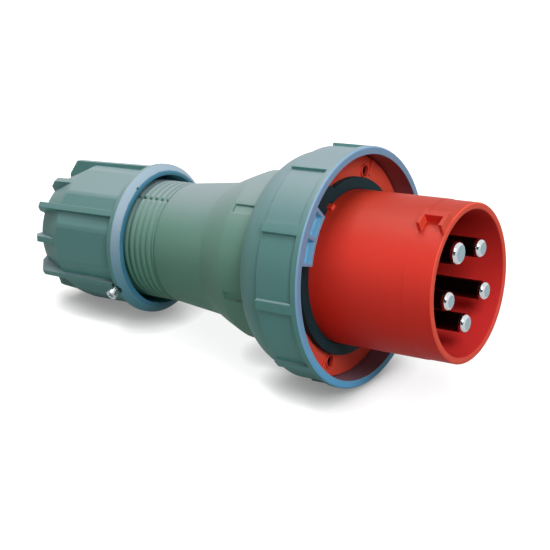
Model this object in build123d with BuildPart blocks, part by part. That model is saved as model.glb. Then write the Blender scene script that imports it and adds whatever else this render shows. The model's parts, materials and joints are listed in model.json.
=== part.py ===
from build123d import *
import math
import os

# Five-pole pin and sleeve plug, lying along X.
# The origin is the centre of the sleeve's mouth, +X points out of the mouth and +Z is up.
# Sizes are in millimetres. Angles are in degrees about X, from +Y towards +Z.

# Clearances
fixed_gap = 0.05
running_gap = 0.4
axial_play = 0.4

# Contact pins
pole_count = 5
earth_angle = 116.2
pin_circle_d = 41.6
line_pin_d = 10
earth_pin_d = 12
pin_setback = 0
pin_nose_r = 2.5
pin_root_step = 0.6
barrel_d = 16
barrel_bore_d = 9.2
barrel_bore_depth = 24
barrel_stand_out = 4
clamp_screw_d = 5.8
clamp_screw_length = 7.5
clamp_screw_setback = 18
clamp_screw_bite = 1
clamp_slot_width = 1
clamp_slot_depth = 1.2

# Red sleeve, its floor and flange
sleeve_d = 83
sleeve_wall = 3.5
sleeve_depth = 74.6
sleeve_step = 0.3
sleeve_step_setback = 16
floor_thickness = 5.4
flange_d = 121
edge_break = 0.6
pin_boss_wall = 3
pin_boss_height = 2.5
key_angle = 115.6
key_length = 14.3
key_setback = 1.1
key_web_width = 3.4
key_bar_width = 10.8
key_bar_offset = 2.6
key_bar_length = 2
key_height = 4.6
nub_angle = 116.5
nub_length = 2.5
nub_width = 3.5
nub_height = 1.8
flange_rib_width = 1.4
flange_rib_height = 1.2
flange_rib_offset = 6

# Flange screws
flange_screw_count = 4
flange_screw_angle = 65.3
flange_screw_circle_d = 104.4
flange_screw_d = 3.5
flange_screw_length = 16
flange_screw_head_d = 5.6
flange_screw_head_height = 2
flange_screw_head_well = 3.8
flange_boss_d = 7.6
flange_boss_height = 1.2

# Face gasket and housing seal
gasket_d = 96.4
gasket_thickness = 3.9
gasket_ear_width = 17
gasket_ear_reach = 6
seal_cord_d = 2
seal_circle_d = 94.4

# Bayonet ring
ring_lead = 12.1
ring_length = 42
ring_wall = 4.3
ring_rear_wall = 6.5
rim_width = 4
rim_chamfer = 0.8
panel_depth = 1.8
rib_count = 10
rib_angle = 3
rib_width = 5.6
shoulder_length = 16
shoulder_step_length = 1.5
shoulder_step_drop = 2.2
shoulder_drop = 5.8
lug_count = 2
lug_angle = 147.8
lug_span = 29.6
lug_reach = 9.3
lug_thickness = 5
lug_wall = 2
lug_pocket_depth = 3.5

# Housing
housing_wall = 3.5
band_d = 95
band_length = 44
shoulder_end_setback = 145.5
shoulder_end_d = 77.2
shoulder_swell = 0.3
taper_end_setback = 181
neck_d = 67.2
neck_step = 1.3
neck_length = 59
neck_wall = 3.3
housing_flange_d = 115
housing_flange_thickness = 6
screw_boss_d = 9
screw_boss_length = 11
gusset_thickness = 3
gusset_spread = 30
notch_count = 6
notch_angle = 131.7
notch_length = 19
notch_width = 5
notch_depth = 1.2
ledge_setback = 192
ledge_thickness = 4
ledge_reach = 5.3

# Contact carrier
carrier_d = 67
carrier_length = 28
carrier_screw_count = 3
carrier_screw_pitch = 144
carrier_screw_circle_d = 56
carrier_screw_d = 3.5
carrier_screw_head_d = 6.4
carrier_screw_head_height = 2.4
carrier_screw_grip = 4
access_hole_d = 8

# Cable gland
nut_lead = 39.4
nut_length = 71.4
nut_rim_reach = 10.7
nut_rim_width = 7.5
nut_rim_height = 3.1
nut_rim_break = 0.6
nut_bevel_length = 4.2
nut_face_width = 2.6
nut_face_length = 1.2
nut_side_count = 12
nut_corner_relief = 0.4
nut_counterbore_gap = 4.7
nut_counterbore_taper = 1.6
nut_counterbore_depth = 21.4
nut_chamfer_length = 22
nut_rear_lip = 1.4
nut_entry_lip = 5.1
nut_rear_wall = 4
nut_seat_depth = 3.4
nut_seat_length = 12
nut_rib_count = 6
nut_rib_angle = 26
nut_rib_width = 3.6
nut_rib_relief = 1.1
nut_rib_root = 2
nut_rib_lead = 6.5
nut_rib_taper = 1.2
short_rib_relief = 2
rib_corner_setback = 3.5
short_rib_corner_setback = 1.5
rib_overhang = 3
rib_tip_reach = 1.5
rib_foot_drop = 3.5
thrust_ring_wall = 4
thrust_ring_length = 7
thrust_ring_lip = 2.5
cage_wall = 4
cage_base_length = 6
claw_count = 12
claw_gap = 3
grommet_length = 19
grommet_bore_d = 38
grommet_lip = 2
tightening_travel = 8.4

# Lock screw in the nut
lock_angle = 207.4
lock_setback = 8
lock_screw_d = 4
lock_head_d = 6.4
lock_head_height = 2.2
lock_stand_off = 3
lock_well_d = 7.6
lock_well_depth = 4
lock_tip_gap = 1.5

# Places along the axis
flange_x = -sleeve_depth
housing_front_x = flange_x - floor_thickness
ring_front_x = flange_x + ring_lead
ring_rear_x = ring_front_x - ring_length
rim_back_x = ring_front_x - rim_width
shoulder_x = ring_rear_x + shoulder_length
ring_seat_x = ring_rear_x + ring_rear_wall
housing_flange_back_x = housing_front_x - housing_flange_thickness
band_end_x = housing_front_x - band_length
neck_x = -taper_end_setback
neck_end_x = neck_x - neck_length
carrier_rear_x = housing_front_x - carrier_length
barrel_rear_x = carrier_rear_x - barrel_stand_out
nut_x = neck_end_x + nut_lead
nut_rear_x = nut_x - nut_length
ledge_rear_x = -ledge_setback - ledge_thickness
grommet_x = ledge_rear_x - fixed_gap
cage_x = grommet_x - grommet_length - tightening_travel - axial_play
nut_floor_x = nut_rear_x + nut_rear_wall
thrust_rear_x = nut_floor_x + axial_play
thrust_x = thrust_rear_x + thrust_ring_length
claw_end_x = thrust_rear_x + thrust_ring_lip
pin_boss_x = flange_x + pin_boss_height
flange_boss_x = flange_x + flange_boss_height

# Radii that several pieces share
sleeve_r = sleeve_d / 2
sleeve_base_r = sleeve_r + sleeve_step
flange_r = flange_d / 2
ring_bore_r = flange_r + running_gap
ring_r = ring_bore_r + ring_wall
panel_r = ring_r - panel_depth
band_r = band_d / 2
neck_r = neck_d / 2
neck_bore_r = neck_r - neck_wall
ledge_bore_r = neck_bore_r - ledge_reach
taper_end_r = neck_r + neck_step
nut_rim_r = neck_r + nut_rim_reach
nut_bevel_r = nut_rim_r - nut_rim_break
nut_body_r = nut_rim_r - nut_rim_height
nut_counterbore_r = neck_r + nut_counterbore_gap
nut_face_r = nut_counterbore_r + nut_face_width
nut_bore_r = neck_r + running_gap
nut_seat_r = nut_bore_r - nut_seat_depth
nut_rear_r = nut_seat_r + nut_rear_lip
nut_entry_r = nut_seat_r - nut_entry_lip
seat_slope = nut_seat_depth / nut_seat_length
chamfer_slope = (nut_body_r - nut_rear_r) / nut_chamfer_length
pin_circle_r = pin_circle_d / 2
pole_pitch = 360 / pole_count
carrier_screw_angle = earth_angle - pole_pitch / 2
gusset_outer = housing_flange_d / 2 - edge_break


def across(x):
    """Plane square to the axis at x, with its own x along +Y and y along +Z."""
    return Plane(origin=(x, 0, 0), x_dir=(0, 1, 0), z_dir=(1, 0, 0))


def outward(x, angle, radius=0):
    """Plane square to the radius at an angle, with its own x along the axis."""
    y = math.cos(math.radians(angle))
    z = math.sin(math.radians(angle))
    return Plane(origin=(x, radius * y, radius * z), x_dir=(1, 0, 0), z_dir=(0, y, z))


def finish(part, name):
    """Label one finished piece and write it to its own file."""
    part.label = name
    export_step(part, f"parts/{name}.step")


os.makedirs("parts", exist_ok=True)

# Sleeve, floor and flange are one red moulding: a cup with the pins' holes in its floor.
poles = {
    "earth_pin": (earth_angle, earth_pin_d),
    "line_pin_1": (earth_angle - pole_pitch, line_pin_d),
    "line_pin_2": (earth_angle - 2 * pole_pitch, line_pin_d),
    "line_pin_3": (earth_angle - 3 * pole_pitch, line_pin_d),
    "neutral_pin": (earth_angle - 4 * pole_pitch, line_pin_d),
}

with BuildPart() as plug_sleeve:
    bore_r = sleeve_r - sleeve_wall
    with BuildSketch(Plane.XZ):
        with BuildLine():
            Polyline(
                (0, bore_r + edge_break),
                (0, sleeve_r - edge_break),
                (-edge_break, sleeve_r),
                (-sleeve_step_setback, sleeve_r),
                (-sleeve_step_setback - sleeve_step, sleeve_base_r),
                (flange_x, sleeve_base_r),
                (flange_x, flange_r - edge_break),
                (flange_x - edge_break, flange_r),
                (housing_front_x, flange_r),
                (housing_front_x, 0),
                (flange_x, 0),
                (flange_x, bore_r),
                (-edge_break, bore_r),
                close=True,
            )
        make_face()
    revolve(axis=Axis.X)
    # Raised collars round the pins on the floor
    for angle, pin_d in poles.values():
        with BuildSketch(across(flange_x)):
            with PolarLocations(pin_circle_r, 1, start_angle=angle):
                Circle(pin_d / 2 + pin_root_step + pin_boss_wall)
        extrude(amount=pin_boss_height)
    # Staple-shaped key near the mouth, nearly in line with the earth pin
    key_x = -key_setback - key_length / 2
    with BuildSketch(outward(key_x, key_angle, sleeve_r - sleeve_wall / 2)):
        Rectangle(key_length, key_web_width)
        bar_x = (key_length - key_bar_length) / 2
        with Locations((bar_x, -key_bar_offset), (-bar_x, -key_bar_offset)):
            Rectangle(key_bar_length, key_bar_width)
    extrude(amount=key_height + sleeve_wall / 2)
    # Small nub at the foot of the sleeve, which stands up through a notch in the gasket
    nub_reach = gasket_thickness + nub_length
    with BuildSketch(outward(flange_x + nub_reach / 2 - edge_break / 2, nub_angle, sleeve_r - sleeve_wall / 2)):
        Rectangle(nub_reach + edge_break, nub_width)
    extrude(amount=nub_height + sleeve_wall / 2 + sleeve_step)
    # Radial ribs on the flange, one beside each screw, and a low boss round each screw
    rib_inner = gasket_d / 2 + gasket_ear_reach / 2
    rib_outer = flange_r - edge_break
    with BuildSketch(across(flange_x)):
        with PolarLocations((rib_inner + rib_outer) / 2, flange_screw_count, flange_screw_angle - flange_rib_offset):
            Rectangle(rib_outer - rib_inner, flange_rib_width)
    extrude(amount=flange_rib_height)
    with BuildSketch(across(flange_x)):
        with PolarLocations(flange_screw_circle_d / 2, flange_screw_count, start_angle=flange_screw_angle):
            Circle(flange_boss_d / 2)
    extrude(amount=flange_boss_height)
    # Holes for the pins, the flange screws and the carrier screws
    for angle, pin_d in poles.values():
        with Locations(across(pin_boss_x)):
            with PolarLocations(pin_circle_r, 1, start_angle=angle):
                Hole(pin_d / 2 + pin_root_step + fixed_gap, depth=floor_thickness + pin_boss_height)
    with Locations(across(flange_boss_x)):
        with PolarLocations(flange_screw_circle_d / 2, flange_screw_count, start_angle=flange_screw_angle):
            CounterBoreHole(
                flange_screw_d / 2 + fixed_gap,
                flange_screw_head_d / 2 + running_gap / 2,
                flange_screw_head_well,
                depth=floor_thickness + flange_boss_height,
            )
    with BuildSketch(across(housing_front_x)):
        with PolarLocations(
            carrier_screw_circle_d / 2, carrier_screw_count, carrier_screw_angle,
            carrier_screw_pitch * carrier_screw_count,
        ):
            Circle(carrier_screw_d / 2 + fixed_gap)
    extrude(amount=carrier_screw_grip + fixed_gap, mode=Mode.SUBTRACT)
finish(plug_sleeve.part, "plug_sleeve")

# Turned contact pins: a round-nosed contact, a thicker root in the floor and a terminal barrel bored for the conductor.
for name, (angle, pin_d) in poles.items():
    with BuildPart() as pin:
        pin_r = pin_d / 2
        root_r = pin_r + pin_root_step
        shoulder = housing_front_x - fixed_gap
        bore_end = barrel_rear_x + barrel_bore_depth
        y = pin_circle_r * math.cos(math.radians(angle))
        z = pin_circle_r * math.sin(math.radians(angle))
        with BuildSketch(Plane(origin=(0, y, z), x_dir=(1, 0, 0), z_dir=(0, -1, 0))):
            with BuildLine():
                nose = TangentArc(
                    (-pin_setback, pin_r - pin_nose_r), (-pin_setback - pin_nose_r, pin_r), tangent=(0, 1)
                )
                Polyline(
                    nose @ 1,
                    (pin_boss_x + pin_root_step, pin_r),
                    (pin_boss_x, root_r),
                    (shoulder, root_r),
                    (shoulder, barrel_d / 2),
                    (barrel_rear_x + edge_break, barrel_d / 2),
                    (barrel_rear_x, barrel_d / 2 - edge_break),
                    (barrel_rear_x, barrel_bore_d / 2),
                    (bore_end, barrel_bore_d / 2),
                    (bore_end + barrel_bore_d / 4, 0),
                    (-pin_setback, 0),
                    nose @ 0,
                )
            make_face()
        revolve(axis=Axis((0, y, z), (1, 0, 0)))
        # Tapped hole for the clamp screw, from the outside of the barrel into its bore
        clamp_x = housing_front_x - clamp_screw_setback
        with BuildSketch(outward(clamp_x, angle, pin_circle_r)):
            Circle(clamp_screw_d / 2 + fixed_gap)
        extrude(amount=barrel_d, mode=Mode.SUBTRACT)
    finish(pin.part, name)

# Clamp screws: one slotted grub screw for each terminal barrel, grouped by kind of pole.
clamp_groups = {
    "earth_clamp_screw": ["earth_pin"],
    "line_clamp_screws": ["line_pin_1", "line_pin_2", "line_pin_3"],
    "neutral_clamp_screw": ["neutral_pin"],
}
for name, pins in clamp_groups.items():
    with BuildPart() as clamp_screws:
        clamp_x = housing_front_x - clamp_screw_setback
        clamp_foot_r = pin_circle_r + barrel_bore_d / 2 - clamp_screw_bite
        for pin_name in pins:
            angle = poles[pin_name][0]
            with BuildSketch(outward(clamp_x, angle, clamp_foot_r)):
                Circle(clamp_screw_d / 2)
            extrude(amount=clamp_screw_length)
            with BuildSketch(outward(clamp_x, angle, clamp_foot_r + clamp_screw_length)):
                Rectangle(clamp_screw_d, clamp_slot_width)
            extrude(amount=-clamp_slot_depth, mode=Mode.SUBTRACT)
    finish(clamp_screws.part, name)

# Insulating carrier that holds the barrels behind the sleeve's floor.
with BuildPart() as contact_carrier:
    with BuildSketch(across(housing_front_x)):
        Circle(carrier_d / 2)
        with PolarLocations(pin_circle_r, pole_count, start_angle=earth_angle):
            Circle(barrel_d / 2 + fixed_gap * 2, mode=Mode.SUBTRACT)
        with PolarLocations(
            carrier_screw_circle_d / 2, carrier_screw_count, carrier_screw_angle,
            carrier_screw_pitch * carrier_screw_count,
        ):
            Circle(carrier_screw_d / 2 + fixed_gap, mode=Mode.SUBTRACT)
    extrude(amount=-carrier_length)
    for step in range(pole_count):
        access_angle = earth_angle + step * pole_pitch
        with BuildSketch(outward(housing_front_x - clamp_screw_setback, access_angle, pin_circle_r)):
            Circle(access_hole_d / 2)
        extrude(amount=carrier_d / 2, mode=Mode.SUBTRACT)
finish(contact_carrier.part, "contact_carrier")

# Screws that hold the carrier to the floor, driven from the rear.
with BuildPart() as carrier_screws:
    with BuildSketch(across(carrier_rear_x)):
        with PolarLocations(
            carrier_screw_circle_d / 2, carrier_screw_count, carrier_screw_angle,
            carrier_screw_pitch * carrier_screw_count,
        ):
            Circle(carrier_screw_d / 2)
    extrude(amount=carrier_length + carrier_screw_grip)
    with BuildSketch(across(carrier_rear_x)):
        with PolarLocations(
            carrier_screw_circle_d / 2, carrier_screw_count, carrier_screw_angle,
            carrier_screw_pitch * carrier_screw_count,
        ):
            Circle(carrier_screw_head_d / 2)
    extrude(amount=-carrier_screw_head_height)
finish(carrier_screws.part, "carrier_screws")

# Soft face gasket round the foot of the sleeve, with one ear in line with the earth pin.
with BuildPart() as front_gasket:
    with BuildSketch(across(flange_x)):
        Circle(gasket_d / 2)
        with PolarLocations(gasket_d / 2 + gasket_ear_reach - gasket_ear_width / 2, 1, start_angle=earth_angle):
            Circle(gasket_ear_width / 2)
        Circle(sleeve_base_r + fixed_gap * 2, mode=Mode.SUBTRACT)
        with PolarLocations(sleeve_base_r, 1, start_angle=nub_angle):
            Rectangle(2 * (nub_height + running_gap), nub_width + 2 * running_gap, mode=Mode.SUBTRACT)
    extrude(amount=gasket_thickness)
finish(front_gasket.part, "front_gasket")

# Cord seal in its groove between the flange and the housing.
seal_centre_x = housing_front_x - seal_cord_d / 2 - fixed_gap
with BuildPart() as housing_seal:
    with BuildSketch(Plane.XZ):
        with Locations((seal_centre_x, seal_circle_d / 2)):
            Circle(seal_cord_d / 2)
    revolve(axis=Axis.X)
finish(housing_seal.part, "housing_seal")

# Housing: flange, band, swelling shoulder, taper and neck in one hollow moulding.
with BuildPart() as housing:
    shoulder_mid_x = (band_end_x - shoulder_end_setback) / 2
    shoulder_mid_r = (band_r + shoulder_end_d / 2) / 2 + shoulder_swell
    with BuildSketch(Plane.XZ):
        with BuildLine():
            outer = Polyline(
                (housing_front_x, band_r - housing_wall),
                (housing_front_x, housing_flange_d / 2),
                (housing_flange_back_x, housing_flange_d / 2),
                (housing_flange_back_x, band_r),
                (band_end_x, band_r),
            )
            swell = ThreePointArc(
                outer @ 1, (shoulder_mid_x, shoulder_mid_r), (-shoulder_end_setback, shoulder_end_d / 2)
            )
            inner = Polyline(
                swell @ 1,
                (neck_x, taper_end_r),
                (neck_x, neck_r),
                (neck_end_x + edge_break, neck_r),
                (neck_end_x, neck_r - edge_break),
                (neck_end_x, neck_bore_r),
                (ledge_rear_x, neck_bore_r),
                (ledge_rear_x, ledge_bore_r),
                (-ledge_setback, ledge_bore_r),
                (neck_x - housing_wall, neck_bore_r),
                (neck_x, taper_end_r - housing_wall),
                (-shoulder_end_setback, shoulder_end_d / 2 - housing_wall),
            )
            hollow = ThreePointArc(
                inner @ 1,
                (shoulder_mid_x, shoulder_mid_r - housing_wall),
                (band_end_x, band_r - housing_wall),
            )
            Line(hollow @ 1, outer @ 0)
        make_face()
    revolve(axis=Axis.X)
    # Bosses behind the flange for its screws
    with BuildSketch(across(housing_flange_back_x)):
        with PolarLocations(flange_screw_circle_d / 2, flange_screw_count, start_angle=flange_screw_angle):
            Circle(screw_boss_d / 2)
    extrude(amount=-screw_boss_length)
    # Gussets that stiffen the flange and stop the ring from sliding off forwards
    gusset_inner = band_r - housing_wall / 2
    with BuildSketch(across(housing_flange_back_x)):
        for side in (-1, 1):
            with PolarLocations(
                (gusset_inner + gusset_outer) / 2, flange_screw_count, flange_screw_angle + side * gusset_spread
            ):
                Rectangle(gusset_outer - gusset_inner, gusset_thickness)
        Circle(gusset_outer, mode=Mode.INTERSECT)
    extrude(amount=-(housing_flange_back_x - ring_seat_x - axial_play))
    # Shallow notches in the band, which run out under the ring
    with BuildSketch(across(ring_rear_x)):
        with PolarLocations(band_r, notch_count, start_angle=notch_angle):
            Rectangle(2 * notch_depth, notch_width)
    extrude(amount=-notch_length, mode=Mode.SUBTRACT)
    # Groove for the cord seal and tapped holes for the flange screws
    with BuildSketch(across(housing_front_x)):
        Circle(seal_circle_d / 2 + seal_cord_d / 2 + fixed_gap)
        Circle(seal_circle_d / 2 - seal_cord_d / 2 - fixed_gap, mode=Mode.SUBTRACT)
    extrude(amount=-(seal_cord_d + 2 * fixed_gap), mode=Mode.SUBTRACT)
    with BuildSketch(across(housing_front_x)):
        with PolarLocations(flange_screw_circle_d / 2, flange_screw_count, start_angle=flange_screw_angle):
            Circle(flange_screw_d / 2 + fixed_gap)
    screw_reach = flange_screw_length - floor_thickness - flange_boss_height + flange_screw_head_well
    extrude(amount=-(screw_reach + edge_break), mode=Mode.SUBTRACT)
finish(housing.part, "housing")

# Flange screws, heads sunk in the flange's wells.
screw_seat_x = flange_boss_x - flange_screw_head_well
with BuildPart() as flange_screws:
    with BuildSketch(across(screw_seat_x)):
        with PolarLocations(flange_screw_circle_d / 2, flange_screw_count, start_angle=flange_screw_angle):
            Circle(flange_screw_d / 2)
    extrude(amount=-flange_screw_length)
    with BuildSketch(across(screw_seat_x)):
        with PolarLocations(flange_screw_circle_d / 2, flange_screw_count, start_angle=flange_screw_angle):
            Circle(flange_screw_head_d / 2)
    extrude(amount=flange_screw_head_height)
    with BuildSketch(across(screw_seat_x + flange_screw_head_height)):
        with PolarLocations(flange_screw_circle_d / 2, flange_screw_count, start_angle=flange_screw_angle):
            Rectangle(flange_screw_head_d * 0.7, clamp_slot_width)
            Rectangle(clamp_slot_width, flange_screw_head_d * 0.7)
    extrude(amount=-clamp_slot_depth, mode=Mode.SUBTRACT)
finish(flange_screws.part, "flange_screws")

# Bayonet ring: a ribbed cup that turns on the flange and the housing band.
with BuildPart() as bayonet_ring:
    lip_r = band_r + running_gap
    waist_r = gusset_outer + running_gap
    waist_x = housing_flange_back_x - 3 * axial_play
    with BuildSketch(Plane.XZ):
        with BuildLine():
            front = Polyline(
                (ring_seat_x, lip_r),
                (ring_seat_x, waist_r),
                (waist_x, waist_r),
                (waist_x, ring_bore_r),
                (ring_front_x, ring_bore_r),
                (ring_front_x, ring_r - rim_chamfer),
                (ring_front_x - rim_chamfer, ring_r),
                (shoulder_x, ring_r),
                (shoulder_x, panel_r),
                (shoulder_x - shoulder_step_length, panel_r - shoulder_step_drop),
            )
            shoulder = TangentArc(
                front @ 1, (ring_rear_x, panel_r - shoulder_step_drop - shoulder_drop), tangent=(-1, 0)
            )
            Polyline(shoulder @ 1, (ring_rear_x, lip_r), front @ 0)
        make_face()
    revolve(axis=Axis.X)
    # Panels sunk between the grip ribs, which stay flush with the front rim
    with BuildSketch(across(rim_back_x)):
        Circle(ring_r + panel_depth)
        Circle(panel_r, mode=Mode.SUBTRACT)
        with PolarLocations(ring_r, rib_count, start_angle=rib_angle):
            Rectangle(panel_depth * 4, rib_width, mode=Mode.SUBTRACT)
    extrude(amount=shoulder_x - rim_back_x, mode=Mode.SUBTRACT)
    # Bayonet lugs inside the rim, each with two cored pockets beside a web
    lug_inner_r = ring_bore_r - lug_reach
    lug_half = math.radians(lug_span / 2)
    with BuildSketch(across(ring_front_x)):
        with PolarLocations(0, lug_count, start_angle=lug_angle):
            Polygon(
                (0, 0),
                (flange_d, -flange_d * math.tan(lug_half)),
                (flange_d, flange_d * math.tan(lug_half)),
                align=None,
            )
        Circle(ring_bore_r + ring_wall / 2, mode=Mode.INTERSECT)
        Circle(lug_inner_r, mode=Mode.SUBTRACT)
    extrude(amount=-lug_thickness)
    pocket_half = lug_half - lug_wall / ring_bore_r
    with BuildSketch(across(ring_front_x)):
        with PolarLocations(0, lug_count, start_angle=lug_angle):
            Polygon(
                (0, 0),
                (flange_d, -flange_d * math.tan(pocket_half)),
                (flange_d, flange_d * math.tan(pocket_half)),
                align=None,
            )
        Circle(ring_bore_r - lug_wall / 2, mode=Mode.INTERSECT)
        Circle(lug_inner_r + lug_wall, mode=Mode.SUBTRACT)
        with PolarLocations(lug_inner_r + lug_reach / 2, lug_count, start_angle=lug_angle):
            Rectangle(lug_reach, lug_wall, mode=Mode.SUBTRACT)
    extrude(amount=-lug_pocket_depth, mode=Mode.SUBTRACT)
finish(bayonet_ring.part, "bayonet_ring")

# Rubber grommet that grips the cable, seated on the neck's inner ledge.
with BuildPart() as cable_grommet:
    with BuildSketch(Plane.XZ):
        with BuildLine():
            Polyline(
                (grommet_x, neck_bore_r - running_gap),
                (grommet_x - grommet_length + grommet_lip, neck_bore_r - running_gap),
                (grommet_x - grommet_length, neck_bore_r - running_gap - grommet_lip),
                (grommet_x - grommet_length, grommet_bore_d / 2 + grommet_lip),
                (grommet_x - grommet_length + grommet_lip, grommet_bore_d / 2),
                (grommet_x - grommet_lip, grommet_bore_d / 2),
                (grommet_x, grommet_bore_d / 2 + grommet_lip),
                close=True,
            )
        make_face()
    revolve(axis=Axis.X)
finish(cable_grommet.part, "cable_grommet")

# Clamp cage: a base that slides in the neck's bore and claws that close on the cable.
cage_r = neck_bore_r - running_gap
with BuildPart() as clamp_cage:
    with BuildSketch(Plane.XZ):
        with BuildLine():
            Polyline(
                (cage_x, cage_r),
                (thrust_x, cage_r),
                (claw_end_x, cage_r - cage_wall / 2),
                (claw_end_x, cage_r - cage_wall),
                (cage_x, cage_r - cage_wall),
                close=True,
            )
        make_face()
    revolve(axis=Axis.X)
    with BuildSketch(across(cage_x - cage_base_length)):
        with PolarLocations(cage_r - cage_wall / 2, claw_count):
            Rectangle(cage_wall * 2, claw_gap)
    extrude(amount=claw_end_x - cage_x, mode=Mode.SUBTRACT)
finish(clamp_cage.part, "clamp_cage")

# Slip ring between the nut's conical seat and the claws.
with BuildPart() as thrust_ring:
    seat_r = nut_seat_r - running_gap
    mouth_r = cage_r + running_gap
    with BuildSketch(Plane.XZ):
        with BuildLine():
            Polyline(
                (thrust_x, seat_r + seat_slope * (thrust_x - nut_floor_x)),
                (thrust_rear_x, seat_r + seat_slope * axial_play),
                (thrust_rear_x, mouth_r - thrust_ring_wall),
                (claw_end_x - axial_play, mouth_r - thrust_ring_wall),
                (claw_end_x - axial_play, mouth_r - cage_wall / 2),
                (thrust_x, mouth_r),
                close=True,
            )
        make_face()
    revolve(axis=Axis.X)
finish(thrust_ring.part, "thrust_ring")

# Gland nut: a twelve-sided ribbed cap with a bevelled, counterbored front, screwed on the neck.
chamfer_x = nut_rear_x + nut_chamfer_length
nut_body_x = nut_x - nut_rim_width - (nut_rim_r - nut_body_r)
lock_x = nut_x - lock_setback
rib_base_r = nut_body_r - nut_rib_root
rib_corner_x = nut_rear_x + rib_corner_setback
rib_tip_x = nut_rear_x - rib_overhang
rib_foot_x = nut_rear_x + nut_rear_wall / 4
rib_tail = [
    (rib_tip_x, nut_rear_r + rib_tip_reach),
    (rib_tip_x, nut_rear_r - rib_foot_drop),
    (rib_foot_x, nut_rear_r - rib_foot_drop),
    (rib_foot_x, nut_rear_r - nut_rib_root + chamfer_slope * (rib_foot_x - nut_rear_x)),
    (chamfer_x, rib_base_r),
]
long_rib = [
    (nut_x - nut_rib_lead, rib_base_r),
    (nut_x - nut_rib_lead, nut_rim_r - nut_rib_relief),
    (rib_corner_x, nut_rim_r - nut_rib_relief - nut_rib_taper),
] + rib_tail
short_rib_r = nut_body_r - short_rib_relief
short_rib_corner_x = nut_rear_x + short_rib_corner_setback
short_rib = [(chamfer_x, short_rib_r), (short_rib_corner_x, short_rib_r - nut_rib_taper)] + rib_tail
with BuildPart() as gland_nut:
    with BuildSketch(Plane.XZ):
        with BuildLine():
            Polyline(
                (nut_x, nut_counterbore_r),
                (nut_x, nut_counterbore_r + edge_break),
                (nut_x - nut_face_length, nut_face_r),
                (nut_x - nut_bevel_length, nut_bevel_r),
                (nut_x - nut_bevel_length - (nut_rim_r - nut_bevel_r), nut_rim_r),
                (nut_x - nut_rim_width, nut_rim_r),
                (nut_body_x, nut_body_r),
                (chamfer_x, nut_body_r),
                (nut_rear_x, nut_rear_r),
                (nut_rear_x, nut_entry_r),
                (nut_floor_x, nut_entry_r),
                (nut_floor_x, nut_seat_r),
                (nut_floor_x + nut_seat_length, nut_bore_r),
                (nut_x - nut_counterbore_depth, nut_bore_r),
                (nut_x - nut_counterbore_depth, nut_counterbore_r - nut_counterbore_taper),
                close=True,
            )
        make_face()
    revolve(axis=Axis.X)
    # Flats on the body, one under each long rib and one between
    with BuildSketch(across(nut_body_x)):
        Circle(nut_rim_r)
        RegularPolygon(
            nut_body_r + nut_corner_relief,
            nut_side_count,
            rotation=nut_rib_angle + 180 / nut_side_count,
            mode=Mode.SUBTRACT,
        )
    extrude(amount=nut_rear_x - nut_body_x, mode=Mode.SUBTRACT)
    # Long ribs from the rim to the rear, and short ribs on the rear chamfer between them
    for step in range(2 * nut_rib_count):
        angle = nut_rib_angle + step * 180 / nut_rib_count
        across_rib = (0, -math.sin(math.radians(angle)), math.cos(math.radians(angle)))
        with BuildSketch(Plane(origin=(0, 0, 0), x_dir=(1, 0, 0), z_dir=across_rib)):
            with BuildLine():
                Polyline(*(short_rib if step % 2 else long_rib), close=True)
            make_face()
        extrude(amount=nut_rib_width / 2, both=True)
    # Well and tapped hole for the lock screw
    with BuildSketch(outward(lock_x, lock_angle, nut_rim_r + edge_break)):
        Circle(lock_well_d / 2)
    extrude(amount=-lock_well_depth - edge_break, mode=Mode.SUBTRACT)
    with BuildSketch(outward(lock_x, lock_angle, nut_bore_r)):
        Circle(lock_screw_d / 2 + fixed_gap)
    extrude(amount=nut_rim_r - nut_bore_r, mode=Mode.SUBTRACT)
finish(gland_nut.part, "gland_nut")

# Lock screw, which stands part way out of the nut.
lock_foot_r = neck_r + lock_tip_gap
lock_head_r = nut_rim_r + lock_stand_off
with BuildPart() as lock_screw:
    with BuildSketch(outward(lock_x, lock_angle, lock_foot_r)):
        Circle(lock_screw_d / 2)
    extrude(amount=lock_head_r - lock_foot_r)
    with BuildSketch(outward(lock_x, lock_angle, lock_head_r)):
        Circle(lock_head_d / 2)
    extrude(amount=lock_head_height)
    with BuildSketch(outward(lock_x, lock_angle, lock_head_r + lock_head_height)):
        Rectangle(lock_head_d * 0.6, clamp_slot_width)
        Rectangle(clamp_slot_width, lock_head_d * 0.6)
    extrude(amount=-clamp_slot_depth, mode=Mode.SUBTRACT)
finish(lock_screw.part, "lock_screw")
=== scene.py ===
import bmesh
import bpy
import json
import math
import numpy as np
from mathutils import Matrix, Vector


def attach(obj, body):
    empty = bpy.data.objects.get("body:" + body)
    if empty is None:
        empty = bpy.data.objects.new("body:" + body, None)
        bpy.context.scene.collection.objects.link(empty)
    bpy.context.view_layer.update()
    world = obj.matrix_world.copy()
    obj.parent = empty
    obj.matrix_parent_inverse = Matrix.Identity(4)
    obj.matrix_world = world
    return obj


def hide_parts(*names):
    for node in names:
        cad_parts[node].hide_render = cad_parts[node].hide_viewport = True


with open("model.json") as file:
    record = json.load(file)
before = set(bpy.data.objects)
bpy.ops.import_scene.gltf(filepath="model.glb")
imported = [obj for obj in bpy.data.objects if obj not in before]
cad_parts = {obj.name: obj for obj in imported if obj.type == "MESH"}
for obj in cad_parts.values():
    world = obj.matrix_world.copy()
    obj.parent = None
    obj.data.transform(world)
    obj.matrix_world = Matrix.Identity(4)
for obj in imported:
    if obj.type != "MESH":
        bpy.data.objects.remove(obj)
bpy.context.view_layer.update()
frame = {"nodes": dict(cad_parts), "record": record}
print("stage 1: frame loaded,", len(frame["nodes"]), "nodes")

mm = 0.001


# Small helpers

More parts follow.
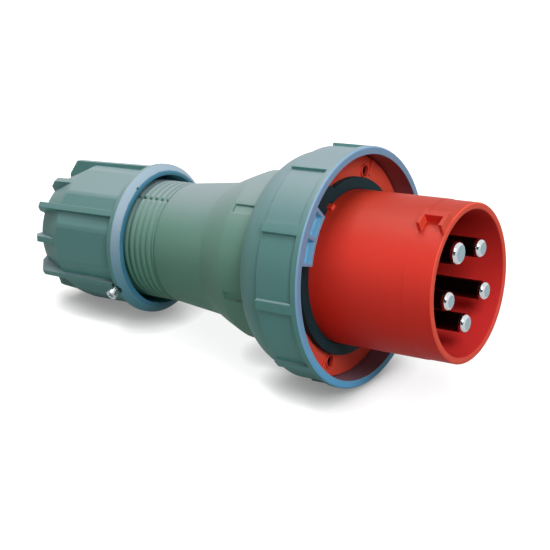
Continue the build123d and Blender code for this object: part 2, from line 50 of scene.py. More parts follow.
# Turns an sRGB hex colour into linear red, green, blue and alpha.
def hexToLinear(text):
    values = [int(text[i:i + 2], 16) / 255 for i in (1, 3, 5)]
    linear = [v / 12.92 if v <= 0.04045 else ((v + 0.055) / 1.055) ** 2.4 for v in values]
    return (*linear, 1.0)


# Gives a material or a world an empty node tree.
def emptyTree(owner):
    owner.use_nodes = True
    owner.node_tree.nodes.clear()
    return owner.node_tree


# Adds one node and sets its properties. Each input gets a value, a hex colour or another node's output.
def addNode(tree, kind, props=None, inputs=None):
    node = tree.nodes.new(kind)
    for name, value in (props or {}).items():
        setattr(node, name, value)
    for name, value in (inputs or {}).items():
        if isinstance(value, bpy.types.NodeSocket):
            tree.links.new(value, node.inputs[name])
        else:
            node.inputs[name].default_value = hexToLinear(value) if isinstance(value, str) else value
    return node


# Settings of nodes that come up often. The mix node is filled by number, because its sockets share their
# names: 0 is the share, 2 and 3 are the values or 6 and 7 the colours, and output 2 is the mixed colour.
colourMix = {"data_type": "RGBA"}
smoothRange = {"interpolation_type": "SMOOTHSTEP"}
multiply = {"operation": "MULTIPLY"}
dotProduct = {"operation": "DOT_PRODUCT"}


# Puts an object made from a mesh into the scene, with its material and body.
def addPiece(name, mesh, material, body):
    piece = bpy.data.objects.new(name, mesh)
    bpy.context.scene.collection.objects.link(piece)
    piece.data.materials.clear()
    piece.data.materials.append(material)
    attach(piece, body)
    return piece


# Unit vector that points out from the axis, at an angle from +Y towards +Z.
def outwardAt(angle):
    return np.array([0, math.cos(math.radians(angle)), math.sin(math.radians(angle))])


# Mesh from a grid of points: rows along the first parameter, columns along the second.
# closeRows joins the last row to the first, closeColumns does the same for the columns.
def gridMesh(name, points, closeRows=False, closeColumns=False):
    rows, columns = points.shape[:2]
    index = np.arange(rows * columns).reshape(rows, columns)
    if closeRows:
        index = np.vstack([index, index[:1]])
    if closeColumns:
        index = np.hstack([index, index[:, :1]])
    quads = np.stack([index[:-1, :-1], index[:-1, 1:], index[1:, 1:], index[1:, :-1]], -1).reshape(-1, 4)
    mesh = bpy.data.meshes.new(name)
    mesh.from_pydata(points.reshape(-1, 3).tolist(), [], quads.tolist())
    mesh.validate()
    mesh.shade_smooth()
    return mesh


turnedSettings = {
    "askew": (0.31, 0.53, 0.79),  # any direction that no turned shape's axis has
    "weld": 1e-6,
}


# A turned shape: each profile point (along, radius) is carried round an axis through a centre.
# The radii at the profile's ends are 0, and those two rings are merged to poles.
def turnedMesh(name, profile, centre, direction, segments):
    along, radius = np.array(profile, float).T
    turn = np.linspace(0, 2 * np.pi, segments, endpoint=False)
    axis = np.array(direction, float) / np.linalg.norm(direction)
    side = np.cross(axis, turnedSettings["askew"])
    side /= np.linalg.norm(side)
    other = np.cross(axis, side)
    spokes = np.cos(turn)[:, None] * side + np.sin(turn)[:, None] * other
    points = np.array(centre) + along[None, :, None] * axis + radius[None, :, None] * spokes[:, None, :]
    mesh = gridMesh(name, points * mm, closeRows=True)
    welded = bmesh.new()
    welded.from_mesh(mesh)
    bmesh.ops.remove_doubles(welded, verts=welded.verts, dist=turnedSettings["weld"])
    bmesh.ops.recalc_face_normals(welded, faces=welded.faces)
    welded.to_mesh(mesh)
    welded.free()
    return mesh


# Camera: the photograph's view, worked out from the circles of the sleeve, ring and nut
photoView = {
    "imageSize": 550,
    "focalPixels": 1300,
    "yaw": 34.5,  # the axis swings this far out of the picture plane, towards the camera
    "roll": 9.0,  # and falls this far below level in the picture
    "downAngle": 68,  # where the part's -Z lies round the mouth, from the axis' side, clockwise
    "mouthPixel": (470.7, 283.9),
    "mouthDistance": 658.5,
    "sensorWidth": 36,
    "nearClip": 0.01,
}


def makeCamera():
    v = photoView
    yaw, roll, down = (math.radians(v[k]) for k in ("yaw", "roll", "downAngle"))
    # Directions in a camera frame with x right, y down and z into the picture
    alongAxis = np.array([math.cos(yaw) * math.cos(roll), math.cos(yaw) * math.sin(roll), -math.sin(yaw)])
    belowAxis = np.array([-math.sin(roll), math.cos(roll), 0])
    besideAxis = np.cross(alongAxis, belowAxis)
    partY = math.sin(down) * besideAxis - math.cos(down) * belowAxis
    partZ = -(math.cos(down) * besideAxis + math.sin(down) * belowAxis)
    toBlender = np.diag([1, -1, -1])
    partInCamera = toBlender @ np.stack([alongAxis, partY, partZ], 1)
    u, w = v["mouthPixel"]
    half = v["imageSize"] / 2
    ray = np.array([(u - half) / v["focalPixels"], (w - half) / v["focalPixels"], 1])
    place = -partInCamera.T @ (toBlender @ (ray * v["mouthDistance"] * mm))
    data = bpy.data.cameras.new("photoCamera")
    data.sensor_width = v["sensorWidth"]
    data.lens = v["focalPixels"] / v["imageSize"] * v["sensorWidth"]
    data.clip_start = v["nearClip"]
    camera = bpy.data.objects.new("photoCamera", data)
    bpy.context.scene.collection.objects.link(camera)
    camera.matrix_world = Matrix.Translation(Vector(place)) @ Matrix(partInCamera.T.tolist()).to_4x4()
    bpy.context.scene.camera = camera


makeCamera()
print("stage 2: camera placed")

# Floor: the plug lies on its ring's and its nut's ribs, so the floor leans to meet both.
# It glows for the camera, as a lit white backdrop, and its contact shadow is taken out of that glow.
floorSettings = {
    "size": 6.0,
    "colour": "#989896",
    "mirrored": 0.45,  # share of the glow that gloss and metal show
    "glow": (0.88, 1.0),  # strength near the plug, and where the floor runs out into the backdrop
    "glowReach": (0.16, 0.45),
    "contactReach": 0.017,
    "contactDepth": 1.8,  # higher is darker close to the plug
    "contactShade": 0.24,  # share of the glow that is left in the deepest shadow
    "contactSamples": 16,
    "middle": (-0.12, 0, -0.06),
    "searchLean": (0.0, 20.0),
    "searchSteps": 40,
}


# Lowest point of a node against a floor that leans by an angle: the least height over all its corners.
def lowest(node, lean):
    mesh = frame["nodes"][node].data
    points = np.empty(len(mesh.vertices) * 3)
    mesh.vertices.foreach_get("co", points)
    up = np.array([math.sin(lean), 0, math.cos(lean)])
    return (points.reshape(-1, 3) @ up).min()


# Halves the range of angles until ring and nut stand equally low.
def findLean():
    low, high = (math.radians(a) for a in floorSettings["searchLean"])
    for _ in range(floorSettings["searchSteps"]):
        middle = (low + high) / 2
        if lowest("bayonet_ring", middle) < lowest("gland_nut", middle):
            low = middle
        else:
            high = middle
    return (low + high) / 2


floorLean = findLean()
floorUp = np.array([math.sin(floorLean), 0, math.cos(floorLean)])
floorHeight = min(lowest("bayonet_ring", floorLean), lowest("gland_nut", floorLean))
print("floor leans by", round(math.degrees(floorLean), 2), "degrees")


# A flat square: steps along two directions in the floor's plane, from its middle under the plug.
def makeFloor():
    s = floorSettings
    alongFloor = np.array([math.cos(floorLean), 0, -math.sin(floorLean)])
    acrossFloor = np.array([0, 1, 0])
    steps = np.linspace(-s["size"] / 2, s["size"] / 2, 3)
    a, b = np.meshgrid(steps, steps, indexing="ij")
    points = floorUp * floorHeight + a[..., None] * alongFloor + b[..., None] * acrossFloor
    mesh = gridMesh("floor", points)
    floor = bpy.data.objects.new("floor", mesh)
    bpy.context.scene.collection.objects.link(floor)
    material = bpy.data.materials.new("paleStudioFloor")
    tree = emptyTree(material)
    place = addNode(tree, "ShaderNodeTexCoord")
    middle = addNode(tree, "ShaderNodeVectorMath", {"operation": "DISTANCE"},
                     {0: place.outputs["Object"], 1: s["middle"]})
    strength = addNode(tree, "ShaderNodeMapRange", smoothRange, {
        "Value": middle.outputs["Value"], "From Min": s["glowReach"][0], "From Max": s["glowReach"][1],
        "To Min": s["glow"][0], "To Max": s["glow"][1],
    })
    contact = addNode(tree, "ShaderNodeAmbientOcclusion", {"samples": s["contactSamples"]},
                      {"Distance": s["contactReach"]})
    deepened = addNode(tree, "ShaderNodeMath", {"operation": "POWER"},
                       {0: contact.outputs["AO"], 1: s["contactDepth"]})
    limited = addNode(tree, "ShaderNodeMapRange",
                      inputs={"Value": deepened.outputs[0], "To Min": s["contactShade"], "To Max": 1.0})
    shaded = addNode(tree, "ShaderNodeMath", multiply, {0: strength.outputs[0], 1: limited.outputs[0]})
    glow = addNode(tree, "ShaderNodeEmission", inputs={"Color": "#ffffff", "Strength": shaded.outputs[0]})
    path = addNode(tree, "ShaderNodeLightPath")
    mirrored = addNode(tree, "ShaderNodeMath", {"operation": "MULTIPLY_ADD"}, {
        0: path.outputs["Is Glossy Ray"], 1: s["mirrored"], 2: path.outputs["Is Camera Ray"],
    })
    onlySeen = addNode(tree, "ShaderNodeMixShader", inputs={0: mirrored.outputs[0], 2: glow.outputs[0]})
    diffuse = addNode(tree, "ShaderNodeBsdfDiffuse", inputs={"Color": s["colour"]})
    both = addNode(tree, "ShaderNodeAddShader", inputs={0: diffuse.outputs[0], 1: onlySeen.outputs[0]})
    addNode(tree, "ShaderNodeOutputMaterial", inputs={"Surface": both.outputs[0]})
    mesh.materials.append(material)


makeFloor()

# Lights: a soft lamp above, a smaller and weaker one that looks into the mouth from above, and a pale
# world. The camera and gloss see that world white, but gloss shows one dark side in it.
lightSettings = {
    "world": ("#eef4f8", 0.22),
    "darkSide": {"toward": (0.566, -0.764, 0.31), "spread": (0.8, 0.93), "colour": "#33454f"},
    "lamps": {
        "overheadSoftbox": {
            "place": (-0.25, 0.0, 1.1), "aim": (-0.12, 0, 0), "size": 0.6, "power": 10.9, "colour": "#fffcf6",
        },
        "frontSoftbox": {
            "place": (0.65, -0.5, 0.62), "aim": (-0.03, 0, 0), "size": 0.4, "power": 6.6, "colour": "#f4f7ff",
        },
    },
}


def makeLights():
    for name, s in lightSettings["lamps"].items():
        data = bpy.data.lights.new(name, "AREA")
        data.size = s["size"]
        data.energy = s["power"]
        data.color = hexToLinear(s["colour"])[:3]
        lamp = bpy.data.objects.new(name, data)
        lamp.location = s["place"]
        aim = Vector(s["aim"]) - Vector(s["place"])
        lamp.rotation_mode = "QUATERNION"
        lamp.rotation_quaternion = aim.to_track_quat("-Z", "Y")
        bpy.context.scene.collection.objects.link(lamp)
    world = bpy.data.worlds.new("studioWorld")
    bpy.context.scene.world = world
    tree = emptyTree(world)
    colour, strength = lightSettings["world"]
    dim = addNode(tree, "ShaderNodeBackground", inputs={"Color": colour, "Strength": strength})
    seen = addNode(tree, "ShaderNodeBackground", inputs={"Color": "#ffffff", "Strength": 1.0})
    s = lightSettings["darkSide"]
    place = addNode(tree, "ShaderNodeTexCoord")
    toward = addNode(tree, "ShaderNodeVectorMath", dotProduct,
                     {0: place.outputs["Generated"], 1: s["toward"]})
    unlit = addNode(tree, "ShaderNodeMapRange", smoothRange, {
        "Value": toward.outputs["Value"], "From Min": s["spread"][0], "From Max": s["spread"][1],
    })
    side = addNode(tree, "ShaderNodeMix", colourMix, {0: unlit.outputs[0], 6: "#ffffff", 7: s["colour"]})
    mirrored = addNode(tree, "ShaderNodeBackground", inputs={"Color": side.outputs[2], "Strength": 1.0})
    path = addNode(tree, "ShaderNodeLightPath")
    lit = addNode(tree, "ShaderNodeMixShader",
                  inputs={0: path.outputs["Is Glossy Ray"], 1: dim.outputs[0], 2: mirrored.outputs[0]})
    mix = addNode(tree, "ShaderNodeMixShader",
                  inputs={0: path.outputs["Is Camera Ray"], 1: lit.outputs[0], 2: seen.outputs[0]})
    addNode(tree, "ShaderNodeOutputWorld", inputs={"Surface": mix.outputs[0]})


makeLights()
bpy.context.scene.view_settings.view_transform = "Standard"
print("stage 3: floor and lights set")


# Materials
plasticSettings = {"driftDetail": 3.0, "driftRange": (0.3, 0.7), "grainDetail": 2.0}
topShadeSettings = {"up": (0, 0.375, 0.927), "top": (0.0, 0.9), "under": (0.0, -0.8)}
paintedLightFacing = {"front": (0.3, 0.5), "inward": (-0.75, -0.9)}  # the normal's share forward, and outward


# Every moulded plastic starts the same way: a satin base, colour that drifts slowly, and a spark-eroded
# grain. The real grain is too fine to show, so it is drawn coarser, at the grain size in mm.
def mouldedPlastic(name, s):
    material = bpy.data.materials.new(name)
    tree = emptyTree(material)
    place = addNode(tree, "ShaderNodeTexCoord")
    drift = addNode(tree, "ShaderNodeTexNoise", inputs={
        "Vector": place.outputs["Object"], "Scale": 1 / (s["driftSize"] * mm),
        "Detail": plasticSettings["driftDetail"],
    }).outputs["Fac"]
    painted = addNode(tree, "ShaderNodeMix", colourMix,
                      {0: drift, 6: s["colour"], 7: s["driftColour"]}).outputs[2]
    # Top and underside take painted light and shade where these colours are given
    if "paintedTopColour" in s:
        painted = paintTopLightAndShade(tree, place, painted, s)
    # Front faces, hollow walls and pockets take painted light and shade where these colours are given
    if "paintedFrontLight" in s:
        painted = paintFrontAndHollowLight(tree, place, painted, s)
    low, high = plasticSettings["driftRange"]
    rough = addNode(tree, "ShaderNodeMapRange", inputs={
        "Value": drift, "From Min": low, "From Max": high,
        "To Min": s["roughness"][0], "To Max": s["roughness"][1],
    })
    grain = addNode(tree, "ShaderNodeTexNoise", inputs={
        "Vector": place.outputs["Object"], "Scale": 1 / (s["grainSize"] * mm),
        "Detail": plasticSettings["grainDetail"],
    })
    bump = addNode(tree, "ShaderNodeBump", inputs={
        "Height": grain.outputs["Fac"], "Strength": s["grainStrength"], "Distance": s["grainDepth"] * mm,
    })
    shader = addNode(tree, "ShaderNodeBsdfPrincipled", inputs={
        "Base Color": painted, "Roughness": rough.outputs[0], "Metallic": 0.0, "IOR": s["ior"],
        "Specular IOR Level": s["shine"], "Normal": bump.outputs["Normal"],
    })
    addNode(tree, "ShaderNodeOutputMaterial", inputs={"Surface": shader.outputs[0]})
    return material


# Painted light and shade: sides that lie uppermost take the top colour, a painted paler light on the grey
# pieces and a painted darker top on the red one, and those below take the under colour, a painted greener
# shade on the grey pieces and a painted redder light on the red one. Both mixes follow the normal's share
# along up.
def paintTopLightAndShade(tree, place, painted, s):
    upward = addNode(tree, "ShaderNodeVectorMath", dotProduct,
                     {0: place.outputs["Normal"], 1: topShadeSettings["up"]})
    for key, reach in (("paintedTopColour", topShadeSettings["top"]), ("paintedUnderColour", topShadeSettings["under"])):
        share = addNode(tree, "ShaderNodeMapRange", smoothRange, {
            "Value": upward.outputs["Value"], "From Min": reach[0], "From Max": reach[1],
        })
        painted = addNode(tree, "ShaderNodeMix", colourMix,
                          {0: share.outputs[0], 6: painted, 7: s[key]}).outputs[2]
    return painted


# Painted light on faces that look out of the plug's mouth end: a shade of their own, with a second one towards
# the underside, a painted bluish reflection on the grey pieces and a painted brighter light on the red one. It
# ends at a given place along the axis where one is given. Faces that look almost straight ahead can take a
# third, a painted deep shade. Hollow walls, which look at the axis, take two painted lights, above and below.
# The ring's lug pockets, near the axis and between two places on it, take a painted light blue light.
def paintFrontAndHollowLight(tree, place, painted, s):
    facing = addNode(tree, "ShaderNodeSeparateXYZ", inputs={0: place.outputs["Normal"]}).outputs["X"]
    spot = addNode(tree, "ShaderNodeSeparateXYZ", inputs={0: place.outputs["Object"]})
    share = addNode(tree, "ShaderNodeMapRange", smoothRange, {
        "Value": facing, "From Min": paintedLightFacing["front"][0], "From Max": paintedLightFacing["front"][1],
        "To Max": s["paintedLightShare"],
    })
    if "paintedLightBack" in s:
        ahead = addNode(tree, "ShaderNodeMath", {"operation": "GREATER_THAN"},
                        {0: spot.outputs["X"], 1: s["paintedLightBack"] * mm})
        share = addNode(tree, "ShaderNodeMath", multiply, {0: share.outputs[0], 1: ahead.outputs[0]})
    low = addNode(tree, "ShaderNodeMapRange", smoothRange, {
        "Value": spot.outputs["Z"], "From Min": s["paintedLightHeights"][0] * mm, "From Max": s["paintedLightHeights"][1] * mm,
    }).outputs[0]
    shade = addNode(tree, "ShaderNodeMix", colourMix, {0: low, 6: s["paintedFrontLight"], 7: s["paintedLowFrontLight"]})
    if "paintedAheadShade" in s:
        straight = addNode(tree, "ShaderNodeMapRange", smoothRange, {
            "Value": facing, "From Min": s["aheadFacing"][0], "From Max": s["aheadFacing"][1],
        })
        shade = addNode(tree, "ShaderNodeMix", colourMix,
                        {0: straight.outputs[0], 6: shade.outputs[2], 7: s["paintedAheadShade"]})
    rimmed = addNode(tree, "ShaderNodeMix", colourMix, {0: share.outputs[0], 6: painted, 7: shade.outputs[2]})

    # Hollow walls take painted light, in two shades from top to bottom
    across = addNode(tree, "ShaderNodeCombineXYZ", inputs={"Y": spot.outputs["Y"], "Z": spot.outputs["Z"]})
    outward = addNode(tree, "ShaderNodeVectorMath", {"operation": "NORMALIZE"}, {0: across.outputs[0]})
    turned = addNode(tree, "ShaderNodeVectorMath", dotProduct,
                     {0: place.outputs["Normal"], 1: outward.outputs[0]})
    radius = addNode(tree, "ShaderNodeVectorMath", {"operation": "LENGTH"}, {0: across.outputs[0]})
    inward = addNode(tree, "ShaderNodeMapRange", smoothRange, {
        "Value": turned.outputs["Value"], "From Min": paintedLightFacing["inward"][0],
        "From Max": paintedLightFacing["inward"][1],
    })
    within = addNode(tree, "ShaderNodeMath", {"operation": "LESS_THAN"},
                     {0: radius.outputs["Value"], 1: s["hollowRadius"] * mm})
    hollow = addNode(tree, "ShaderNodeMath", multiply, {0: inward.outputs[0], 1: within.outputs[0]})
    hollowLight = addNode(tree, "ShaderNodeMix", colourMix, {0: low, 6: s["paintedHollowLights"][0], 7: s["paintedHollowLights"][1]})
    painted = addNode(tree, "ShaderNodeMix", colourMix,
                      {0: hollow.outputs[0], 6: rimmed.outputs[2], 7: hollowLight.outputs[2]}).outputs[2]

    if "paintedPocketLight" in s:
        # Each of the three edges takes its share of the pocket: outside it, the product is 0
        pocket = 1.0
        for key, measure in (("pocketRadius", radius.outputs["Value"]), ("pocketBack", spot.outputs["X"]),
                             ("pocketFront", spot.outputs["X"])):
            edge = addNode(tree, "ShaderNodeMapRange", inputs={
                "Value": measure, "From Min": s[key][0] * mm, "From Max": s[key][1] * mm,
            })
            pocket = addNode(tree, "ShaderNodeMath", multiply, {0: pocket, 1: edge.outputs[0]}).outputs[0]
        painted = addNode(tree, "ShaderNodeMix", colourMix,
                          {0: pocket, 6: painted, 7: s["paintedPocketLight"]}).outputs[2]
    return painted


# Grey-green polyamide, injection moulded: satin, slightly uneven, with a fine eroded grain.
# Its top colour is a painted paler light and its under colour a painted greener shade.
greySettings = {
    "colour": "#588271", "driftColour": "#608a7b", "paintedTopColour": "#829295", "paintedUnderColour": "#428069",
    "driftSize": 60, "grainSize": 0.35, "grainDepth": 0.02, "grainStrength": 0.35,
    "roughness": (0.46, 0.56), "ior": 1.53, "shine": 0.5,
}
greyPolyamide = mouldedPlastic("greyPolyamideMoulded", greySettings)
# The batch used for the two turning pieces is bluer.
# Their top and under colours are painted light and shade as well.
coolSettings = {
    "colour": "#4c7b77", "driftColour": "#54837f", "paintedTopColour": "#788c93", "paintedUnderColour": "#4a8d87",
}
# The same polyamide on the bayonet ring: its front rim takes a painted lavender reflection, its lug pockets a
# painted light blue light, and its inner wall a painted red reflection of the sleeve.
ringPolyamide = mouldedPlastic("greyPolyamideRingMoulded", {
    **greySettings, **coolSettings,
    "paintedFrontLight": "#7fa6c8", "paintedLowFrontLight": "#62bcec", "paintedLightShare": 0.9, "paintedLightHeights": (10, -58),
    "paintedLightBack": -70,
    "paintedHollowLights": ("#854a50", "#857783"), "hollowRadius": 63,
    "paintedPocketLight": "#7db9d6", "pocketRadius": (60.2, 60.0), "pocketBack": (-68.5, -68.3),
    "pocketFront": (-62.7, -62.8),
})
# The same polyamide on the gland nut, whose hollow front bevel is a painted deep blue shade.
# Its front faces take a painted bluish reflection, its hollow wall a painted teal light, and its top a painted
# paler light.
nutPolyamide = mouldedPlastic("greyPolyamideNutMoulded", {
    **greySettings, **coolSettings, "paintedTopColour": "#7d9296",
    "paintedFrontLight": "#98adbd", "paintedLowFrontLight": "#4a8798", "paintedLightShare": 0.9, "paintedLightHeights": (30, -32),
    "paintedLightBack": -207, "paintedAheadShade": "#327894", "aheadFacing": (0.78, 0.86),
    "paintedHollowLights": ("#62b4c8", "#62b4c8"), "hollowRadius": 40,
})
# Red polyamide, injection moulded: little gloss, with a painted darker top, painted light on its front faces
# and underside, and a painted glow in its hollows.
redPolyamide = mouldedPlastic("redPolyamideMoulded", {
    "colour": "#d73326", "driftColour": "#dd3a2c", "paintedTopColour": "#ab2c19", "paintedUnderColour": "#dd281a",
    "driftSize": 45, "grainSize": 0.35, "grainDepth": 0.015, "grainStrength": 0.25,
    "roughness": (0.46, 0.56), "ior": 1.53, "shine": 0.2,
    "paintedFrontLight": "#f0583f", "paintedLowFrontLight": "#f5563e", "paintedLightShare": 0.9, "paintedLightHeights": (20, -40),
    "paintedHollowLights": ("#dc302a", "#fa3c38"), "hollowRadius": 45,
})
# Black glass-filled polyamide of the inner parts: matt and even.
blackPolyamide = mouldedPlastic("blackPolyamideMoulded", {
    "colour": "#2b2d2e", "driftColour": "#323435",
    "driftSize": 30, "grainSize": 0.5, "grainDepth": 0.03, "grainStrength": 0.5,
    "roughness": (0.5, 0.62), "ior": 1.5, "shine": 0.4,
})
# Soft black-green rubber of the seals: matt, with a trace of bloom.
sealRubber = mouldedPlastic("greenBlackRubberMoulded", {
    "colour": "#08272b", "driftColour": "#103238",
    "driftSize": 12, "grainSize": 0.6, "grainDepth": 0.04, "grainStrength": 0.4,
    "roughness": (0.62, 0.75), "ior": 1.52, "shine": 0.25,
})

metalSettings = {
    "smearDetail": 4.0, "ringDetail": 2.0, "ringDistortion": 0.6, "ringStrength": 0.2,
    "waveScale": 20,  # the wave texture's own factor on its scale
}


# Turned and plated metal: a metallic base with rings round its axis left by the lathe. The real feed
# marks are too fine to show, so they are drawn coarser, at the ring spacing in mm.
def turnedMetal(name, s):
    m = metalSettings
    material = bpy.data.materials.new(name)
    tree = emptyTree(material)
    place = addNode(tree, "ShaderNodeTexCoord")
    smear = addNode(tree, "ShaderNodeTexNoise", inputs={
        "Vector": place.outputs["Object"], "Scale": 1 / (s["smearSize"] * mm), "Detail": m["smearDetail"],
    }).outputs["Fac"]
    surface = addNode(tree, "ShaderNodeMix", colourMix,
                      {0: smear, 6: s["colour"], 7: s["smearColour"]}).outputs[2]
    rough = addNode(tree, "ShaderNodeMapRange", inputs={
        "Value": smear, "To Min": s["roughness"][0], "To Max": s["roughness"][1],
    }).outputs[0]
    if "paintedEndReflection" in s:
        facing = addNode(tree, "ShaderNodeSeparateXYZ", inputs={0: place.outputs["Normal"]})
        flat = addNode(tree, "ShaderNodeMapRange", inputs={
            "Value": facing.outputs["X"], "From Min": s["endFacing"][0], "From Max": s["endFacing"][1],
        })
        surface = addNode(tree, "ShaderNodeMix", colourMix,
                          {0: flat.outputs[0], 6: surface, 7: s["paintedEndReflection"]}).outputs[2]
    if "darkColour" in s:
        spot = addNode(tree, "ShaderNodeSeparateXYZ", inputs={0: place.outputs["Object"]})
        behind = addNode(tree, "ShaderNodeMapRange", smoothRange, {
            "Value": spot.outputs["X"], "From Min": s["darkReach"][0] * mm, "From Max": s["darkReach"][1] * mm,
        }).outputs[0]
        surface = addNode(tree, "ShaderNodeMix", colourMix,
                          {0: behind, 6: surface, 7: s["darkColour"]}).outputs[2]
        rough = addNode(tree, "ShaderNodeMix", inputs={0: behind, 2: rough, 3: s["darkRoughness"]}).outputs[0]
    rings = addNode(tree, "ShaderNodeTexWave", {"wave_type": "BANDS", "bands_direction": "X"}, {
        "Vector": place.outputs["Object"], "Scale": 1 / (s["ringSpacing"] * mm) / m["waveScale"],
        "Distortion": m["ringDistortion"], "Detail": m["ringDetail"],
    })
    bump = addNode(tree, "ShaderNodeBump", inputs={
        "Height": rings.outputs["Fac"], "Strength": m["ringStrength"], "Distance": s["ringDepth"] * mm,
    })
    shader = addNode(tree, "ShaderNodeBsdfPrincipled", inputs={
        "Base Color": surface, "Roughness": rough, "Metallic": 1.0, "Normal": bump.outputs["Normal"],
    })
    addNode(tree, "ShaderNodeOutputMaterial", inputs={"Surface": shader.outputs[0]})
    return material


# Brass, turned and nickel plated: the ends are bright with soft tool rings and a cool flat, a painted
# reflection; the shanks behind them are rougher and near black, with a red cast.
nickelBrass = turnedMetal("nickelPlatedBrassTurned", {
    "colour": "#e2e5e8", "smearColour": "#cdd2d6", "smearSize": 9, "ringSpacing": 0.6, "ringDepth": 0.006,
    "roughness": (0.08, 0.15), "paintedEndReflection": "#a4bfca", "endFacing": (0.93, 0.98),
    "darkReach": (-2.7, -3.5), "darkColour": "#2a1512", "darkRoughness": 0.42,
})
# Steel, cold headed and zinc plated: pale, cool and a little mottled.
zincSteel = turnedMetal("zincPlatedSteelHeaded", {
    "colour": "#cfd6da", "smearColour": "#a9b2b8", "smearSize": 3, "ringSpacing": 0.5, "ringDepth": 0.01,
    "roughness": (0.22, 0.4),
})
# Steel, cold headed and blackened: dark and slightly oily.
blackSteel = turnedMetal("blackenedSteelHeaded", {
    "colour": "#3a3433", "smearColour": "#2a2625", "smearSize": 3, "ringSpacing": 0.5, "ringDepth": 0.01,
    "roughness": (0.35, 0.5),
})
print("stage 4: materials made")

# Rigid pieces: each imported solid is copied, its facets merged, and its moulded edges rounded by a width in
# mm. Normals are then weighted by face area, so that the flats beside a rounded edge are evenly shaded.
dressedNodes = {
    "housing": {"material": greyPolyamide, "edge": 0.4},
    "bayonet_ring": {"material": ringPolyamide, "edge": 0.35},
    "gland_nut": {"material": nutPolyamide, "edge": 0.25},
    "plug_sleeve": {"material": redPolyamide, "edge": 0.3},
    "contact_carrier": {"material": blackPolyamide, "edge": 0.3},
    "clamp_cage": {"material": blackPolyamide, "edge": 0.3},
    "thrust_ring": {"material": blackPolyamide, "edge": 0.3},
    "cable_grommet": {"material": sealRubber, "edge": 0.4},
    "front_gasket": {"material": sealRubber, "edge": 0.4},
    "housing_seal": {"material": sealRubber, "edge": 0},
    "earth_pin": {"material": nickelBrass, "edge": 0.2},
    "line_pin_1": {"material": nickelBrass, "edge": 0.2},
    "line_pin_2": {"material": nickelBrass, "edge": 0.2},
    "line_pin_3": {"material": nickelBrass, "edge": 0.2},
    "neutral_pin": {"material": nickelBrass, "edge": 0.2},
    "flange_screws": {"material": blackSteel, "edge": 0.15},
    "carrier_screws": {"material": zincSteel, "edge": 0.15},
    "lock_screw": {"material": zincSteel, "edge": 0.2},
    "earth_clamp_screw": {"material": zincSteel, "edge": 0.15},
    "line_clamp_screws": {"material": zincSteel, "edge": 0.15},
    "neutral_clamp_screw": {"material": zincSteel, "edge": 0.15},
}
edgeSettings = {"weld": 0.002, "flat": 0.05, "sharp": 32, "segments": 2, "weight": 50}
bodyOf = {node: body for body, nodes in frame["record"]["behaviour"]["bodies"].items() for node in nodes}


def dressNode(node, s):
    e = edgeSettings
    solid = bmesh.new()
    solid.from_mesh(frame["nodes"][node].data)
    bmesh.ops.remove_doubles(solid, verts=solid.verts, dist=e["weld"] * mm)
    bmesh.ops.dissolve_limit(solid, angle_limit=math.radians(e["flat"]), verts=solid.verts, edges=solid.edges)
    mesh = bpy.data.meshes.new(node + "_dressed")
    solid.to_mesh(mesh)
    solid.free()
    mesh.shade_smooth()
    piece = addPiece(node + "_dressed", mesh, s["material"], bodyOf[node])
    if s["edge"]:
        bevel = piece.modifiers.new("roundedEdges", "BEVEL")
        bevel.width = s["edge"] * mm
        bevel.segments = e["segments"]
        bevel.limit_method = "ANGLE"
        bevel.angle_limit = math.radians(e["sharp"])
        bevel.use_clamp_overlap = False
        weighted = piece.modifiers.new("evenShading", "WEIGHTED_NORMAL")
        weighted.mode = "FACE_AREA"
        weighted.weight = e["weight"]
    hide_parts(node)


for node, settings in dressedNodes.items():
    dressNode(node, settings)
print("stage 5: solids dressed")

# Thread on the neck. A point's radius is the neck's, plus the ridge height times a comb: one cosine wave
# per pitch of (distance along less turn), its crest broadened. It fades out at both ends, and one notch
# per turn is cut across the crests.
threadSettings = {
    "front": -181.3, "back": -212.4, "pitch": 4.2, "firstCrest": -182.5, "runOut": 1.4,
    "baseRadius": 33.45, "innerRadius": 32.4, "ridgeHeight": 1.4, "turnSteps": 256, "alongSteps": 150,
    "notchAngle": 120.2, "notchSpread": 1.3, "notchReach": 4, "notchSteps": 25,
}


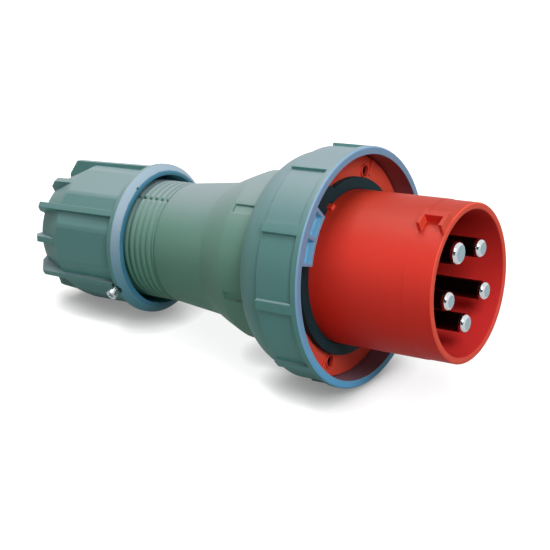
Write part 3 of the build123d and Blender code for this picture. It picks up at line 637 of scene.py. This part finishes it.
def makeNeckThread():
    s = threadSettings
    near = s["notchAngle"] + np.linspace(-s["notchReach"], s["notchReach"], s["notchSteps"])
    turn = np.unique(np.concatenate([np.linspace(0, 360, s["turnSteps"], endpoint=False), near]))[:, None]
    along = np.linspace(s["front"], s["back"], s["alongSteps"])[None, :]
    crests = (along - s["firstCrest"]) / s["pitch"] - (turn - s["notchAngle"]) / 360
    wave = 0.5 + 0.5 * np.cos(2 * np.pi * crests)
    fade = np.clip(np.minimum(s["front"] - along, along - s["back"]) / s["runOut"], 0, 1)
    notch = 1 - np.exp(-((turn - s["notchAngle"]) / s["notchSpread"]) ** 2)
    ridge = wave * (2 - wave) * fade * fade * (3 - 2 * fade) * notch
    radius = s["baseRadius"] + s["ridgeHeight"] * ridge
    # Two more columns close the sleeve of thread on its inner side
    ends = np.array([[s["back"], s["front"]]])
    along = np.hstack([along, ends]) + 0 * turn
    radius = np.hstack([radius, np.full((len(turn), 2), s["innerRadius"])])
    angle = np.radians(turn)
    points = np.stack([along, radius * np.cos(angle), radius * np.sin(angle)], -1) * mm
    mesh = gridMesh("neckThread", points, closeRows=True, closeColumns=True)
    addPiece("neckThread", mesh, greyPolyamide, "plug_body")


makeNeckThread()

# Pit shade: the shade in small round pits is painted as black dishes, each a shallow dish on a short cylinder
# that is sunk into the plastic. The dish is given as (height, share of the pit's radius), and places as
# (distance along, radius, angle, pit radius). The neck's pits sit in the thread's notches, one to a crest.
pitShadeSettings = {
    "segments": 24,
    "dish": [(0.02, 0), (0.04, 0.7), (0.06, 1), (-0.4, 1), (-0.4, 0)],
    "neckPits": 5,
    "neckPit": (33.62, threadSettings["notchAngle"], 0.75),
    "nut": [(-202.15, 41.2, 119.0, 0.95)],
}
crests = [threadSettings["firstCrest"] - threadSettings["pitch"] * k for k in range(pitShadeSettings["neckPits"])]


def makePitShades(name, places, body):
    s = pitShadeSettings
    meshes = []
    for along, radius, angle, pit in places:
        outward = outwardAt(angle)
        centre = np.array([along, 0, 0]) + outward * radius
        profile = [(height, share * pit) for height, share in s["dish"]]
        meshes.append(turnedMesh(name, profile, centre, outward, s["segments"]))
    joined = bmesh.new()
    for mesh in meshes:
        joined.from_mesh(mesh)
    joined.to_mesh(meshes[0])
    joined.free()
    # The dishes are black, a painted shade in the pits
    addPiece(name, meshes[0], blackPolyamide, body)


makePitShades("threadPitShades", [(along, *pitShadeSettings["neckPit"]) for along in crests], "plug_body")
makePitShades("nutPitShade", pitShadeSettings["nut"], "nut")
print("stage 6: thread and marks made")
